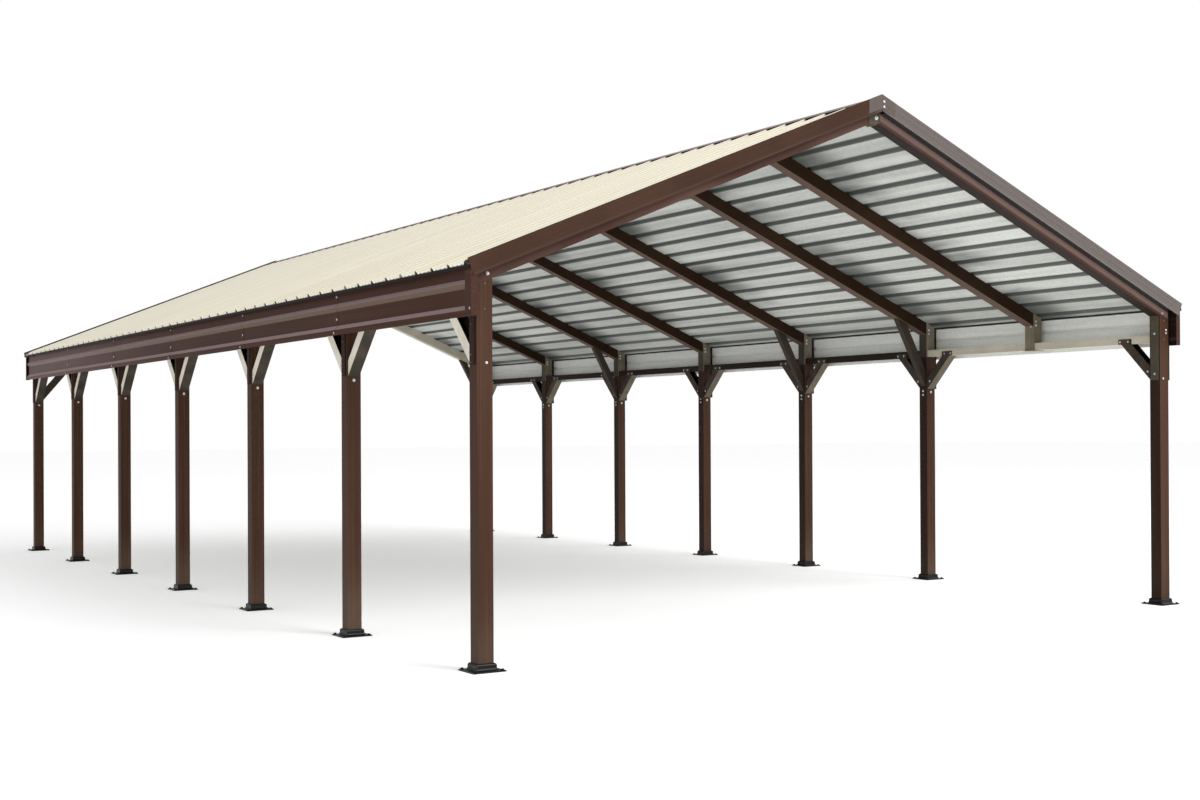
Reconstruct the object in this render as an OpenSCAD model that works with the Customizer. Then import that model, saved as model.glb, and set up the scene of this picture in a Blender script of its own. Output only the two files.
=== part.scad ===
// Open gable carport of brown square tube: seven posts a side, eight roof frames,
// a galvanised deck under cream ribbed sheets, ribbed fascias and folded trims.
// Millimetres. X runs across the span, Y along the ridge from the front gable, Z up.

/* [Frame] */
// Distance across the span, from post centre line to post centre line
span = 6000; // [4800:50:7600]
// Distance along the ridge, from the first post's centre line to the last one's
frame_l = 12000; // [10800:100:14400]
// Height of the rafters' underside over a post's centre line
post_h = 2280; // [2000:10:3200]
// Rise of the roof for each twelve of run
roof_rise = 5; // [3.5:0.25:6]
// Length of the wide front bay on the right, which has a hanging stub at its middle
front_bay = 2720; // [2000:20:3200]
// Side of a post's square tube
post_w = 100; // [80:2:140]
// Depth of a rafter's tube, square to the slope
rafter_h = 100; // [80:2:140]
// Wall of the posts and rafters
tube_wall = 5; // [3:0.5:8]

/* [Eave headers] */
// Height of a header's tube
header_h = 62; // [54:2:80]
// Wall of a header
header_wall = 4; // [3:0.5:6]
// Drop from the rafters' underside, over a post's centre line, to the header's underside
header_drop = 190; // [170:5:260]

/* [Braces] */
// Leg of a knee brace, along the post and along the header
brace_leg = 300; // [240:10:420]
// Depth of a brace's channel
brace_d = 74; // [60:2:84]
// Wall of a brace's channel
brace_wall = 4; // [3:0.5:6]
// Height of the ears with which a knee brace laps the sides of its header
brace_lap = 42; // [30:2:48]
// Reach of the ears past the end of a knee brace's web
ear_out = 30; // [10:2:60]
// Set-back of a knee brace's cheeks from the faces of its post
brace_inset = 9; // [0.5:0.5:12]
// Drop from the header's underside to a cross brace's foot
cross_drop = 270; // [240:10:300]
// Reach along the span of a cross brace on the right
cross_run = 340; // [280:10:420]
// Reach along the span of the long cross brace in the back left corner
long_cross_run = 600; // [480:10:700]
// Width of a cross brace's channel
cross_w = 60; // [50:2:76]

/* [Base shoes] */
// Side of the square base plate
plate_w = 210; // [200:5:260]
// Thickness of the base plate
plate_t = 8; // [6:1:14]
// Height of the moulded collar over the plate
collar_h = 42; // [36:2:60]
// Radius of the collar's rounded shoulder
shoulder_r = 14; // [10:1:16]
// Radius of the collar's hollow foot
foot_r = 16; // [10:1:18]
// Diameter of an anchor hole
anchor_d = 14; // [10:1:16]
// Distance between anchor holes
anchor_gap = 176; // [172:1:184]

/* [Roof] */
// Thickness of every folded sheet
sheet_t = 3; // [2:0.5:4]
// Distance between the deck's ribs, which run along the ridge
deck_pitch = 209; // [180:1:250]
// Height of a deck rib
deck_rib_h = 25; // [18:1:32]
// Width of a deck rib at its foot
deck_rib_foot = 60; // [50:2:80]
// Width of a deck rib at its crown
deck_rib_crown = 34; // [24:2:44]
// Distance aimed at between the roof sheets' ribs, which run down the slope
roof_pitch = 229; // [200:1:260]
// Height of a roof rib
roof_rib_h = 19; // [14:1:26]
// Width of a roof rib at its foot
roof_rib_foot = 46; // [40:2:54]
// Width of a roof rib at its crown
roof_rib_crown = 22; // [16:2:28]
// Overhang of the deck and roof sheets past the faces of the end frames
gable_out = 64; // [50:2:90]
// Length of each wing of the ridge cap, along the slope
cap_wing = 130; // [100:5:180]
// Thickness of the end plates bolted between a frame's two rafters
ridge_plate_t = 6; // [4:1:10]
// Reach of the ridge plates under the rafters
ridge_plate_drop = 22; // [0:2:40]
// Reach of the hanging stub's foot plate past its tube
stub_plate_out = 12; // [6:1:20]
// Width of the connector plates on the inner faces of the front posts
post_plate_w = 80; // [60:2:80]

/* [Fascia and trims] */
// Depth of the stand-off channels that hold the fascias off the posts
stand_off = 40; // [30:2:60]
// Width of a stand-off channel
stand_off_w = 60; // [50:2:76]
// Thickness of the straps under the left stand-offs
strap_t = 8; // [5:1:12]
// Height of a fascia
fascia_h = 310; // [300:2:340]
// Height of the fascia's upper flat, down to its first rib
fascia_flat = 92; // [70:2:100]
// Height of the weathered slope on top of a fascia rib
fascia_rib_top = 29; // [16:1:34]
// Height of the slope under the first fascia rib
fascia_rib_under = 26; // [18:1:40]
// Depth of a fascia rib
fascia_rib = 22; // [14:1:30]
// Height of the flat between the fascia's first rib and its lower lip
fascia_pan = 97; // [80:1:104]
// Width of a corner trim on the side of the building
corner_side = 80; // [60:2:100]
// Width of a corner trim on the gable
corner_front = 44; // [32:2:66]
// Distance by which a fascia stops short of its back trim
fascia_short = 46; // [30:2:48]
// Depth of the rake trim's face, square to the slope
rake_h = 96; // [90:2:130]
// Width of the rake trim's flange over the roof sheets
rake_flange = 44; // [40:1:60]
// Height of the rake trim's lower hem
rake_hem = 16; // [10:1:24]
// Kick of the hem away from the building
rake_kick = 6; // [3:1:10]
// Height of the rake trim's lip over its flange
rake_lip = 12; // [6:1:20]
// Overhang of the roof sheets past the fascia ribs
eave_out = 20; // [14:1:40]
// Height of the eave trim's leg
eave_leg = 18; // [12:1:30]

/* [Hidden] */
half = span / 2;
slope = atan(roof_rise / 12);
fall = roof_rise / 12;
post_r = post_w / 2;
inner_x = half - post_r;
outer_x = half + post_r;
apex_z = post_h + half * fall;

// Levels square to the slope, from the rafters' underside
deck_n = rafter_h;
roof_n = deck_n + deck_rib_h + sheet_t;
crown_n = roof_n + roof_rib_h + sheet_t;
eave_n = roof_n - sheet_t;

// Bays on the left, and on the right behind the wide bay: each post is a piece of its own
left_bays = 6;
rear_bays = 5;

// Places along the ridge
y_front = -frame_l / 2;
rear_bay = (frame_l - front_bay) / rear_bays;
left_post_y = [for (i = [0:left_bays]) y_front + i * frame_l / left_bays];
right_post_y = concat([y_front], [for (i = [0:rear_bays]) y_front + front_bay + i * rear_bay]);
stub_y = y_front + front_bay / 2;
frame_y = concat([y_front, stub_y], [for (i = [0:rear_bays]) y_front + front_bay + i * rear_bay]);
last_left = left_bays;
last_right = rear_bays + 1;
last_frame = rear_bays + 2;
cross_posts = [1, 2, 4, last_right];
gable_y = frame_l / 2 + post_r;
sheet_y = gable_y + gable_out;

// Heights of the eave pieces
header_w = post_w - 2 * brace_wall - 2 * brace_inset;
header_z = post_h - header_drop;
header_top = header_z + header_h;
foot_z = header_z - brace_leg;
cross_foot = header_z - cross_drop;
fascia_x = outer_x + stand_off;
trim_x = fascia_x + fascia_rib + sheet_t;
eave_x = trim_x + eave_out;
fascia_top = plane_z(fascia_x, eave_n);
fascia_z = fascia_top - fascia_h;
stand_off_top = plane_z(fascia_x, deck_n);

// Collar of a base shoe
collar_wall = post_r + shoulder_r;
collar_foot = collar_wall + foot_r;
arc_steps = 5;
eps = 1;

brown = [0.36, 0.24, 0.20];
dark_brown = [0.24, 0.16, 0.13];
taupe = [0.66, 0.63, 0.56];
zinc = [0.74, 0.75, 0.73];
cream = [0.93, 0.90, 0.82];
black = [0.10, 0.10, 0.10];

// Height of a roof plane over the span: n is measured square to the slope
function plane_z(x, n) = apex_z - x * fall + n / cos(slope);

// A point of the right slope: s down the slope from the ridge line, n square to it
function on_slope(s, n) = [
    s * cos(slope) + n * sin(slope),
    apex_z - s * sin(slope) + n * cos(slope)
];

// Distance down the slope at which level n is over x
function slope_s(x, n) = (x - n * sin(slope)) / cos(slope);

function reversed(list) = [for (i = [len(list) - 1:-1:0]) list[i]];

// Lower line of a ribbed sheet from one edge to the other, with ribs centred at the given places
function ribbed_line(from, to, centres, foot, crown, h) = concat(
    [[from, 0]],
    [for (c = centres, p = [[-foot, 0], [-crown, h], [crown, h], [foot, 0]]) [c + p[0] / 2, p[1]]],
    [[to, 0]]
);

// Closed outline of a sheet that lies on a line
function sheet_outline(line, shift) = concat(line, reversed([for (p = line) p + shift]));

// Rib places: whole steps from the first to the last, as near the aimed pitch as they come
function rib_places(first, last, aim) =
    let (steps = max(1, round((last - first) / aim)))
    [for (i = [0:steps]) first + i * (last - first) / steps];

function arc(centre, r, from, to) = [
    for (i = [0:arc_steps])
    let (a = from + (to - from) * i / arc_steps)
    centre + r * [cos(a), sin(a)]
];

// Extrudes an outline of the gable plane, given as [x, z], along the ridge
module across(outline, y_from, y_to) {
    translate([0, y_to, 0])
    rotate([90, 0, 0])
    linear_extrude(y_to - y_from)
    polygon(outline);
}

// Extrudes an outline of the side plane, given as [y, z], along the span
module along(outline, x_from, x_to) {
    translate([x_from, 0, 0])
    rotate([90, 0, 90])
    linear_extrude(x_to - x_from)
    polygon(outline);
}

// Extrudes an outline given as [y, n] down the right slope
module down_slope(outline, s_from, s_to) {
    translate([0, 0, apex_z])
    rotate([0, slope, 0])
    along(outline, s_from, s_to);
}

// Draws its children on the right, or mirrored on the left
module on_side(side) {
    mirror([side < 0 ? 1 : 0, 0, 0]) children();
}

// Draws its children at the front, or mirrored at the back
module at_end(end) {
    mirror([0, end > 0 ? 1 : 0, 0]) children();
}

// Outline of a length of post, cut on top to the slope at level n
function post_outline(from, n) = [
    [inner_x, from],
    [outer_x, from],
    [outer_x, plane_z(outer_x, n)],
    [inner_x, plane_z(inner_x, n)]
];

// A square tube at a post's place on the right, cut on top to level n and bored from a height up
module post_tube(y, from, bore_from, n) {
    difference() {
        across(post_outline(from, n), y - post_r, y + post_r);
        translate([inner_x + tube_wall, y - post_r + tube_wall, bore_from])
        cube([post_w - 2 * tube_wall, post_w - 2 * tube_wall, apex_z]);
    }
}

// A post from its base plate to the rafter that lies on it
module tall_post(y) {
    post_tube(y, plate_t, plate_t - eps, 0);
}

// A post from its base plate to the underside of the header, or of the head that stands on it
module short_post(y) {
    bore = post_w - 2 * tube_wall;
    difference() {
        translate([inner_x, y - post_r, plate_t])
        cube([post_w, post_w, header_z - plate_t]);
        translate([inner_x + tube_wall, y - post_r + tube_wall, plate_t - eps])
        cube([bore, bore, header_z]);
    }
}

module left_post(i) {
    color(brown)
    on_side(-1)
    if (i == 0 || i == last_left) tall_post(left_post_y[i]);
    else short_post(left_post_y[i]);
}

module right_post(i) {
    color(brown)
    if (i == 0) tall_post(right_post_y[i]);
    else short_post(right_post_y[i]);
}

// Half of the collar's section, from the hollow foot over the rounded shoulder
function collar_half() = concat(
    arc([collar_foot, plate_t + foot_r], foot_r, -90, -180),
    arc([post_r, plate_t + collar_h - shoulder_r], shoulder_r, 0, 90)
);

module shoe(x, y) {
    side = collar_half();
    outline = concat(side, reversed([for (p = side) [-p[0], p[1]]]));
    hole_at = anchor_gap / 2;
    translate([x, y, 0])
    difference() {
        union() {
            translate([-plate_w / 2, -plate_w / 2, 0])
            cube([plate_w, plate_w, plate_t]);
            intersection() {
                across(outline, -collar_foot, collar_foot);
                along(outline, -collar_foot, collar_foot);
            }
        }
        translate([-post_r, -post_r, plate_t])
        cube([post_w, post_w, 2 * collar_h]);
        for (hx = [-1, 1], hy = [-1, 1])
            translate([hx * hole_at, hy * hole_at, -eps])
            cylinder(d = anchor_d, h = plate_t + 2 * eps, $fn = 32);
    }
}

module left_shoes() {
    color(black) for (y = left_post_y) shoe(-half, y);
}

module right_shoes() {
    color(black) for (y = right_post_y) shoe(half, y);
}

// A header tube along an eave
module header(side, y_from, y_to) {
    bore_w = header_w - 2 * header_wall;
    bore_h = header_h - 2 * header_wall;
    on_side(side)
    difference() {
        translate([half - header_w / 2, y_from, header_z])
        cube([header_w, y_to - y_from, header_h]);
        translate([half - bore_w / 2, y_from - eps, header_z + header_wall])
        cube([bore_w, y_to - y_from + 2 * eps, bore_h]);
    }
}

module left_header() {
    color(dark_brown) header(-1, left_post_y[0] + post_r, left_post_y[last_left] - post_r);
}

module right_header() {
    color(dark_brown)
    for (i = [1:rear_bays])
        header(1, right_post_y[i] + post_r, right_post_y[i + 1] - post_r);
}

// The wide bay's header comes in two lengths, one each side of the hanging stub
module right_front_header() {
    color(taupe) {
        header(1, right_post_y[0] + post_r, stub_y - post_r);
        header(1, stub_y + post_r, right_post_y[1] - post_r);
    }
}

// Short lengths of tube on the left header, into which the inner rafters butt
module left_post_heads() {
    color(taupe)
    on_side(-1)
    for (i = [1:last_frame - 1]) post_tube(frame_y[i], header_top, header_top - eps, deck_n);
}

// The same on the right posts behind the front one, with the headers between them
module right_post_heads() {
    color(taupe)
    for (i = [1:last_right]) post_tube(right_post_y[i], header_z, header_z - eps, deck_n);
}

// A head without a post under it, closed by a foot plate, at the middle of the wide bay
module hanging_stub() {
    plate_side = post_w + 2 * stub_plate_out;
    color(taupe) {
        post_tube(stub_y, header_z - header_wall, header_z, deck_n);
        translate([half - plate_side / 2, stub_y - plate_side / 2, header_z - header_wall])
        cube([plate_side, plate_side, header_wall]);
    }
}

// Connector plates on the inner faces of the front posts, up to the front rafter
module front_post_plates() {
    face_x = inner_x - brace_wall;
    outline = [
        [face_x, foot_z],
        [inner_x, foot_z],
        [inner_x, plane_z(inner_x, 0)],
        [face_x, plane_z(face_x, 0)]
    ];
    color(taupe)
    for (side = [-1, 1])
        on_side(side)
        across(outline, y_front - post_plate_w / 2, y_front + post_plate_w / 2);
}

// Outline of a rafter between two levels, over a stretch of the span
function rafter_outline(x_from, x_to, n_from, n_to) = [
    [x_from, plane_z(x_from, n_from)],
    [x_to, plane_z(x_to, n_from)],
    [x_to, plane_z(x_to, n_to)],
    [x_from, plane_z(x_from, n_to)]
];

// Foot of a rafter: it lies over a tall post, and butts into a head elsewhere
function rafter_tip(i, side) = i == 0 || (i == last_frame && side < 0) ? outer_x : inner_x;

module rafter(i) {
    y = frame_y[i];
    bore_r = post_r - tube_wall;
    x_from = ridge_plate_t / 2;
    color(i == last_frame ? taupe : dark_brown)
    for (side = [-1, 1]) {
        x_to = rafter_tip(i, side);
        bore = rafter_outline(x_from - eps, x_to + eps, tube_wall, rafter_h - tube_wall);
        on_side(side)
        difference() {
            across(rafter_outline(x_from, x_to, 0, rafter_h), y - post_r, y + post_r);
            across(bore, y - bore_r, y + bore_r);
        }
    }
}

// End plates between each frame's two rafters
module ridge_plates() {
    top = plane_z(ridge_plate_t / 2, rafter_h);
    bottom = apex_z - ridge_plate_drop;
    color(taupe)
    for (y = frame_y)
        translate([-ridge_plate_t / 2, y - post_r, bottom])
        cube([ridge_plate_t, post_w, top - bottom]);
}

// A channel in the corner of a post and a header, open to the corner, with ears on the header
module knee_brace(x, y, dir) {
    brace_r = header_w / 2 + brace_wall;
    depth = brace_d * sqrt(2);
    web = brace_wall * sqrt(2);
    ear_end = brace_leg + ear_out;
    cheek = [
        [0, -brace_leg],
        [brace_leg, 0],
        [ear_end, 0],
        [ear_end, brace_lap],
        [brace_leg - depth, brace_lap],
        [brace_leg - depth, 0],
        [0, depth - brace_leg]
    ];
    hollow = [
        [-eps, web - brace_leg - eps],
        [brace_leg - web, 0],
        [brace_leg, -eps],
        [ear_end + eps, -eps],
        [ear_end + eps, brace_lap + eps],
        [-eps, brace_lap + eps]
    ];
    translate([x, y + dir * post_r, header_z])
    mirror([0, dir < 0 ? 1 : 0, 0])
    difference() {
        along(cheek, -brace_r, brace_r);
        along(hollow, -header_w / 2, header_w / 2);
    }
}

// Knee braces of one row of posts: one at each end post and two at the others
module knee_braces(x, places) {
    last = len(places) - 1;
    color(taupe)
    for (i = [0:last]) {
        if (i > 0) knee_brace(x, places[i], -1);
        if (i < last) knee_brace(x, places[i], 1);
    }
}

module left_knee_braces() {
    knee_braces(-half, left_post_y);
}

module right_knee_braces() {
    knee_braces(half, right_post_y);
}

// A channel from a post's inner face up to its rafter, open to the corner
module cross_brace(y, run) {
    tip_x = inner_x - run;
    steep = (plane_z(tip_x, 0) - cross_foot) / run;
    depth = brace_d * sqrt(1 + steep * steep);
    web = brace_wall * sqrt(1 + steep * steep);
    corner_rise = plane_z(inner_x, 0) - cross_foot;
    back_run = (corner_rise - depth) / (steep - fall);
    web_run = (corner_rise - web) / (steep - fall);
    cheek = [
        [inner_x, cross_foot],
        [inner_x, cross_foot + depth],
        [inner_x - back_run, plane_z(inner_x - back_run, 0)],
        [tip_x, plane_z(tip_x, 0)]
    ];
    hollow = [
        [inner_x + eps, cross_foot + web - steep * eps],
        [inner_x + eps, plane_z(inner_x, 0) + eps],
        [inner_x - web_run - eps, plane_z(inner_x - web_run, 0) + steep * eps]
    ];
    hollow_r = cross_w / 2 - brace_wall;
    difference() {
        across(cheek, y - cross_w / 2, y + cross_w / 2);
        across(hollow, y - hollow_r, y + hollow_r);
    }
}

module cross_braces() {
    color(taupe) {
        for (i = cross_posts) cross_brace(right_post_y[i], cross_run);
        on_side(-1) cross_brace(left_post_y[last_left], long_cross_run);
    }
}

// A channel on a post's outer face, open to the post, that carries the fascia from a height up
module stand_off_channel(y, from) {
    channel_r = stand_off_w / 2;
    inner_r = channel_r - brace_wall;
    channel_h = stand_off_top - from;
    translate([outer_x, y, from])
    difference() {
        translate([0, -channel_r, 0])
        cube([stand_off, stand_off_w, channel_h]);
        translate([-eps, -inner_r, -eps])
        cube([stand_off - brace_wall + eps, 2 * inner_r, channel_h + 2 * eps]);
    }
}

// A flat strap on a post's outer face, from the knee braces' feet up to a short channel
module stand_off_strap(y, to) {
    translate([outer_x, y - stand_off_w / 2, foot_z])
    cube([strap_t, stand_off_w, to - foot_z]);
}

// The channels show whole on the right, and only behind the fascia on the left
module stand_offs() {
    channel_z = fascia_z + fascia_rib_top;
    color(dark_brown) {
        for (y = right_post_y) stand_off_channel(y, foot_z);
        on_side(-1)
        for (y = left_post_y) {
            stand_off_channel(y, channel_z);
            stand_off_strap(y, channel_z);
        }
    }
}

// Back line of a fascia from top to bottom: a flat, a peaked rib, a flat and a lower lip
function fascia_line() =
    let (rib_from = fascia_top - fascia_flat,
         rib_to = rib_from - fascia_rib_top - fascia_rib_under,
         lip = rib_to - fascia_pan,
         out = fascia_x + fascia_rib)
    [
        [fascia_x, fascia_top],
        [fascia_x, rib_from],
        [out, rib_from - fascia_rib_top],
        [fascia_x, rib_to],
        [fascia_x, lip],
        [out, lip - fascia_rib_top],
        [out, fascia_z]
    ];

module fascia() {
    line = fascia_line();
    face = [for (i = [0:len(line) - 1]) line[i] + [sheet_t, i == 0 ? -sheet_t * fall : 0]];
    across(concat(line, reversed(face)), sheet_t - sheet_y, sheet_y - sheet_t - fascia_short);
}

module left_fascia() {
    color(brown) on_side(-1) fascia();
}

module right_fascia() {
    color(brown) fascia();
}

// Gable leg of a corner trim, from a place inside the fascia out past its ribs
module corner_leg(inside) {
    out = trim_x + sheet_t;
    leg = [
        [inside, fascia_z],
        [out, fascia_z],
        [out, plane_z(out, deck_n)],
        [inside, plane_z(inside, deck_n)]
    ];
    across(leg, -sheet_y, sheet_t - sheet_y);
}

// A folded angle round the front end of a fascia: its side leg reaches the eave trim, and its
// gable leg stops under the deck
module front_corner_trim() {
    out = trim_x + sheet_t;
    side_leg = [
        [trim_x, fascia_z],
        [out, fascia_z],
        [out, plane_z(out, eave_n)],
        [trim_x, plane_z(trim_x, eave_n)]
    ];
    across(side_leg, -sheet_y, corner_side - sheet_y);
    corner_leg(out - corner_front);
}

// A folded angle at the back end of a fascia: its inner leg lies behind the fascia, which
// stops short of the gable leg
module back_corner_trim() {
    inside = fascia_x - sheet_t;
    inner_leg = [
        [inside, fascia_z],
        [fascia_x, fascia_z],
        [fascia_x, plane_z(fascia_x, deck_n)],
        [inside, plane_z(inside, deck_n)]
    ];
    across(inner_leg, -sheet_y, gable_out - sheet_y);
    corner_leg(inside);
}

module front_corner_trims() {
    color(brown) for (side = [-1, 1]) on_side(side) front_corner_trim();
}

module back_corner_trims() {
    color(brown) for (side = [-1, 1]) on_side(side) at_end(1) back_corner_trim();
}

// Rake trim of one slope: a face with a kicked hem, a flange over the roof sheets and a lip
module rake_trim() {
    top = crown_n + sheet_t;
    bottom = top - rake_h;
    face = -sheet_y - sheet_t;
    outline = [
        [face - rake_kick, bottom],
        [face - rake_kick + sheet_t, bottom],
        [-sheet_y, bottom + rake_hem],
        [-sheet_y, crown_n],
        [face + rake_flange, crown_n],
        [face + rake_flange, top],
        [-sheet_y, top],
        [-sheet_y, top + rake_lip],
        [face, top + rake_lip],
        [face, bottom + rake_hem]
    ];
    difference() {
        down_slope(outline, -rafter_h, slope_s(eave_x, crown_n));
        translate([ridge_plate_t / 2 - span, -sheet_y - post_w, 0])
        cube([span, 2 * post_w, 2 * apex_z]);
    }
}

module rake_trims(end) {
    color(brown)
    for (side = [-1, 1])
        on_side(side) at_end(end) rake_trim();
}

module front_rake_trims() {
    rake_trims(-1);
}

module back_rake_trims() {
    rake_trims(1);
}

// A folded angle under the edge of the roof sheet, with a leg in front of the fascia
module eave_trim() {
    inside = fascia_x + sheet_t / 2;
    leg_x = eave_x - sheet_t;
    outline = [
        [inside, plane_z(inside, eave_n)],
        [leg_x, plane_z(leg_x, eave_n)],
        [leg_x, plane_z(leg_x, eave_n) - eave_leg],
        [eave_x, plane_z(leg_x, eave_n) - eave_leg],
        [eave_x, plane_z(eave_x, roof_n)],
        [inside, plane_z(inside, roof_n)]
    ];
    across(outline, -sheet_y, sheet_y);
}

module eave_trims() {
    color(dark_brown) for (side = [-1, 1]) on_side(side) eave_trim();
}

// Galvanised deck on the rafters, with ribs along the ridge
module deck() {
    s_from = slope_s(ridge_plate_t / 2, deck_n);
    s_to = slope_s(fascia_x, deck_n + deck_rib_h + sheet_t);
    first = s_from + deck_pitch / 2;
    count = floor((s_to - deck_rib_foot - first) / deck_pitch);
    centres = [for (i = [0:count]) first + i * deck_pitch];
    line = ribbed_line(s_from, s_to, centres, deck_rib_foot, deck_rib_crown, deck_rib_h);
    outline = [for (p = sheet_outline(line, [0, sheet_t])) on_slope(p[0], deck_n + p[1])];
    across(outline, -sheet_y, sheet_y);
}

module left_deck() {
    color(zinc) on_side(-1) deck();
}

module right_deck() {
    color(zinc) deck();
}

// Cream sheet over the deck, with ribs from the ridge down to the eave
module roof_sheet() {
    edge = sheet_y - rake_flange + sheet_t + roof_rib_crown / 2;
    centres = rib_places(-edge, edge, roof_pitch);
    line = ribbed_line(-sheet_y, sheet_y, centres, roof_rib_foot, roof_rib_crown, roof_rib_h);
    outline = [for (p = sheet_outline(line, [0, sheet_t])) [p[0], roof_n + p[1]]];
    down_slope(outline, slope_s(ridge_plate_t / 2, roof_n), slope_s(eave_x, roof_n));
}

module left_roof_sheet() {
    color(cream) on_side(-1) roof_sheet();
}

module right_roof_sheet() {
    color(cream) roof_sheet();
}

// Folded cap that lies on the crowns of both roof sheets, between the rake trims' flanges
module ridge_cap() {
    cap_y = sheet_y + sheet_t - rake_flange;
    top = crown_n + sheet_t;
    tip_s = slope_s(0, top) + cap_wing;
    right = [on_slope(tip_s, crown_n), on_slope(tip_s, top)];
    left = [for (p = reversed(right)) [-p[0], p[1]]];
    color(brown)
    across(concat([[0, plane_z(0, crown_n)]], right, [[0, plane_z(0, top)]], left), -cap_y, cap_y);
}

left_post(0);  // left_post_1
left_post(1);  // left_post_2
left_post(2);  // left_post_3
left_post(3);  // left_post_4
left_post(4);  // left_post_5
left_post(5);  // left_post_6
left_post(6);  // left_post_7
right_post(0);  // right_post_1
right_post(1);  // right_post_2
right_post(2);  // right_post_3
right_post(3);  // right_post_4
right_post(4);  // right_post_5
right_post(5);  // right_post_6
right_post(6);  // right_post_7
left_shoes();
right_shoes();
left_header();
right_header();
right_front_header();
left_post_heads();
right_post_heads();
hanging_stub();
front_post_plates();
rafter(0);  // rafter_1
rafter(1);  // rafter_2
rafter(2);  // rafter_3
rafter(3);  // rafter_4
rafter(4);  // rafter_5
rafter(5);  // rafter_6
rafter(6);  // rafter_7
rafter(7);  // rafter_8
ridge_plates();
left_knee_braces();
right_knee_braces();
cross_braces();
stand_offs();
left_fascia();
right_fascia();
front_corner_trims();
back_corner_trims();
front_rake_trims();
back_rake_trims();
eave_trims();
left_deck();
right_deck();
left_roof_sheet();
right_roof_sheet();
ridge_cap();
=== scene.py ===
# %% [markdown]
# # An open gable carport, dressed over its solids
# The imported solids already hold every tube, sheet and trim at its true size. This lesson adds what a
# solid model leaves out: finishes, fasteners, laps and closures. Lengths are metres, X runs across the
# span, Y along the ridge from the front gable to the back, and Z up.

# %% Load the frame
import math

import bmesh
import bpy
from mathutils import Matrix, Vector


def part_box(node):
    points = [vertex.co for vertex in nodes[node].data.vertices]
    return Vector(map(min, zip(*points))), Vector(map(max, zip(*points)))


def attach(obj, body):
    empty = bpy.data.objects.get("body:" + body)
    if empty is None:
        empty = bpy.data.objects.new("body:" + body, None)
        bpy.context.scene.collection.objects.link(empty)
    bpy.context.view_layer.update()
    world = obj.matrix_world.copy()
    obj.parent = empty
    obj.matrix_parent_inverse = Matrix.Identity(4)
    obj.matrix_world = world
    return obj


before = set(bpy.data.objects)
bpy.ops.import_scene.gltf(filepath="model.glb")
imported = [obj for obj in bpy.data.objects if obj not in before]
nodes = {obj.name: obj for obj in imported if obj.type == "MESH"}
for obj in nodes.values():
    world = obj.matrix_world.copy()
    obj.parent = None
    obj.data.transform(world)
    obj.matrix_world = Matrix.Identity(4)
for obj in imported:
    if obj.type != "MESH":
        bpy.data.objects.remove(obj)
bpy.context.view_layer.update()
scene = bpy.context.scene

# %% [markdown]
# ## Sizes that the pieces share
# The posts, rafters and trims say where everything is, so most places are read from their boxes. The
# roof's levels are measured square to the slope, from the underside of the rafters, as a roofer would.

# %% Sizes
FALL = 5 / 12
SLOPE = math.atan(FALL)
SIN, COS = math.sin(SLOPE), math.cos(SLOPE)
SHEET = 0.003
DECK_N, ROOF_N, CROWN_N = 0.100, 0.128, 0.150
PAN_N = ROOF_N + SHEET
CAP_N = CROWN_N + SHEET


def middle(node):
    low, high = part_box(node)
    return (low + high) / 2


left_y = [middle(f"left_post_{i}").y for i in range(1, 8)]
right_y = [middle(f"right_post_{i}").y for i in range(1, 8)]
frame_y = [middle(f"rafter_{i}").y for i in range(1, 9)]
stub_y = middle("hanging_stub").y
HALF = middle("right_post_1").x
POST_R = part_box("right_post_1")[1].x - HALF
INNER, OUTER = HALF - POST_R, HALF + POST_R
APEX_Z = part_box("rafter_1")[0].z + OUTER * FALL
HEADER_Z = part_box("right_header")[0].z
FOOT_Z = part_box("right_knee_braces")[0].z
BRACE_LEG = HEADER_Z - FOOT_Z
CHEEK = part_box("right_knee_braces")[1].x - HALF
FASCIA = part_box("right_fascia")
EAVE_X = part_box("eave_trims")[1].x
SHEET_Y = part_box("left_deck")[1].y
PLATE_TOP = 0.008


def plane_z(x, n):
    """Height of the roof level n over a place on the span."""
    return APEX_Z - abs(x) * FALL + n / COS


def slope_s(x, n):
    """Distance down the slope at which level n is over x."""
    return (x - n * SIN) / COS


def on_slope(side, s, n, y):
    """A point on the left (-1) or right (1) slope."""
    return Vector((side * (s * COS + n * SIN), y, APEX_Z - s * SIN + n * COS))


def slope_up(side):
    return Vector((side * SIN, 0, COS))


def slope_down(side):
    return Vector((side * COS, 0, -SIN))


print("posts", [round(y, 3) for y in right_y], "ridge", round(APEX_Z, 3), "eave", round(EAVE_X, 3))

# %% [markdown]
# ## Camera
# The picture is taken from the left of the front gable at chest height. The camera's axes are worked out
# from its yaw, pitch and roll, because the shift then only has to frame the picture.

# %% Camera
CAMERA_AT = Vector((-7.13, -14.3294, 1.3854))
YAW, PITCH, ROLL = (math.radians(a) for a in (34.292, 0.291, -0.279))
FOCAL_PX, CENTRE_PX = 1573.2, (700, 425)
PICTURE = (1200, 800)

level = Vector((math.sin(YAW), math.cos(YAW), 0))
side_axis = Vector((math.cos(YAW), -math.sin(YAW), 0))
forward = level * math.cos(PITCH) + Vector((0, 0, math.sin(PITCH)))
upright = Vector((0, 0, math.cos(PITCH))) - level * math.sin(PITCH)
cam_x = side_axis * math.cos(ROLL) + upright * math.sin(ROLL)
cam_y = upright * math.cos(ROLL) - side_axis * math.sin(ROLL)

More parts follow.
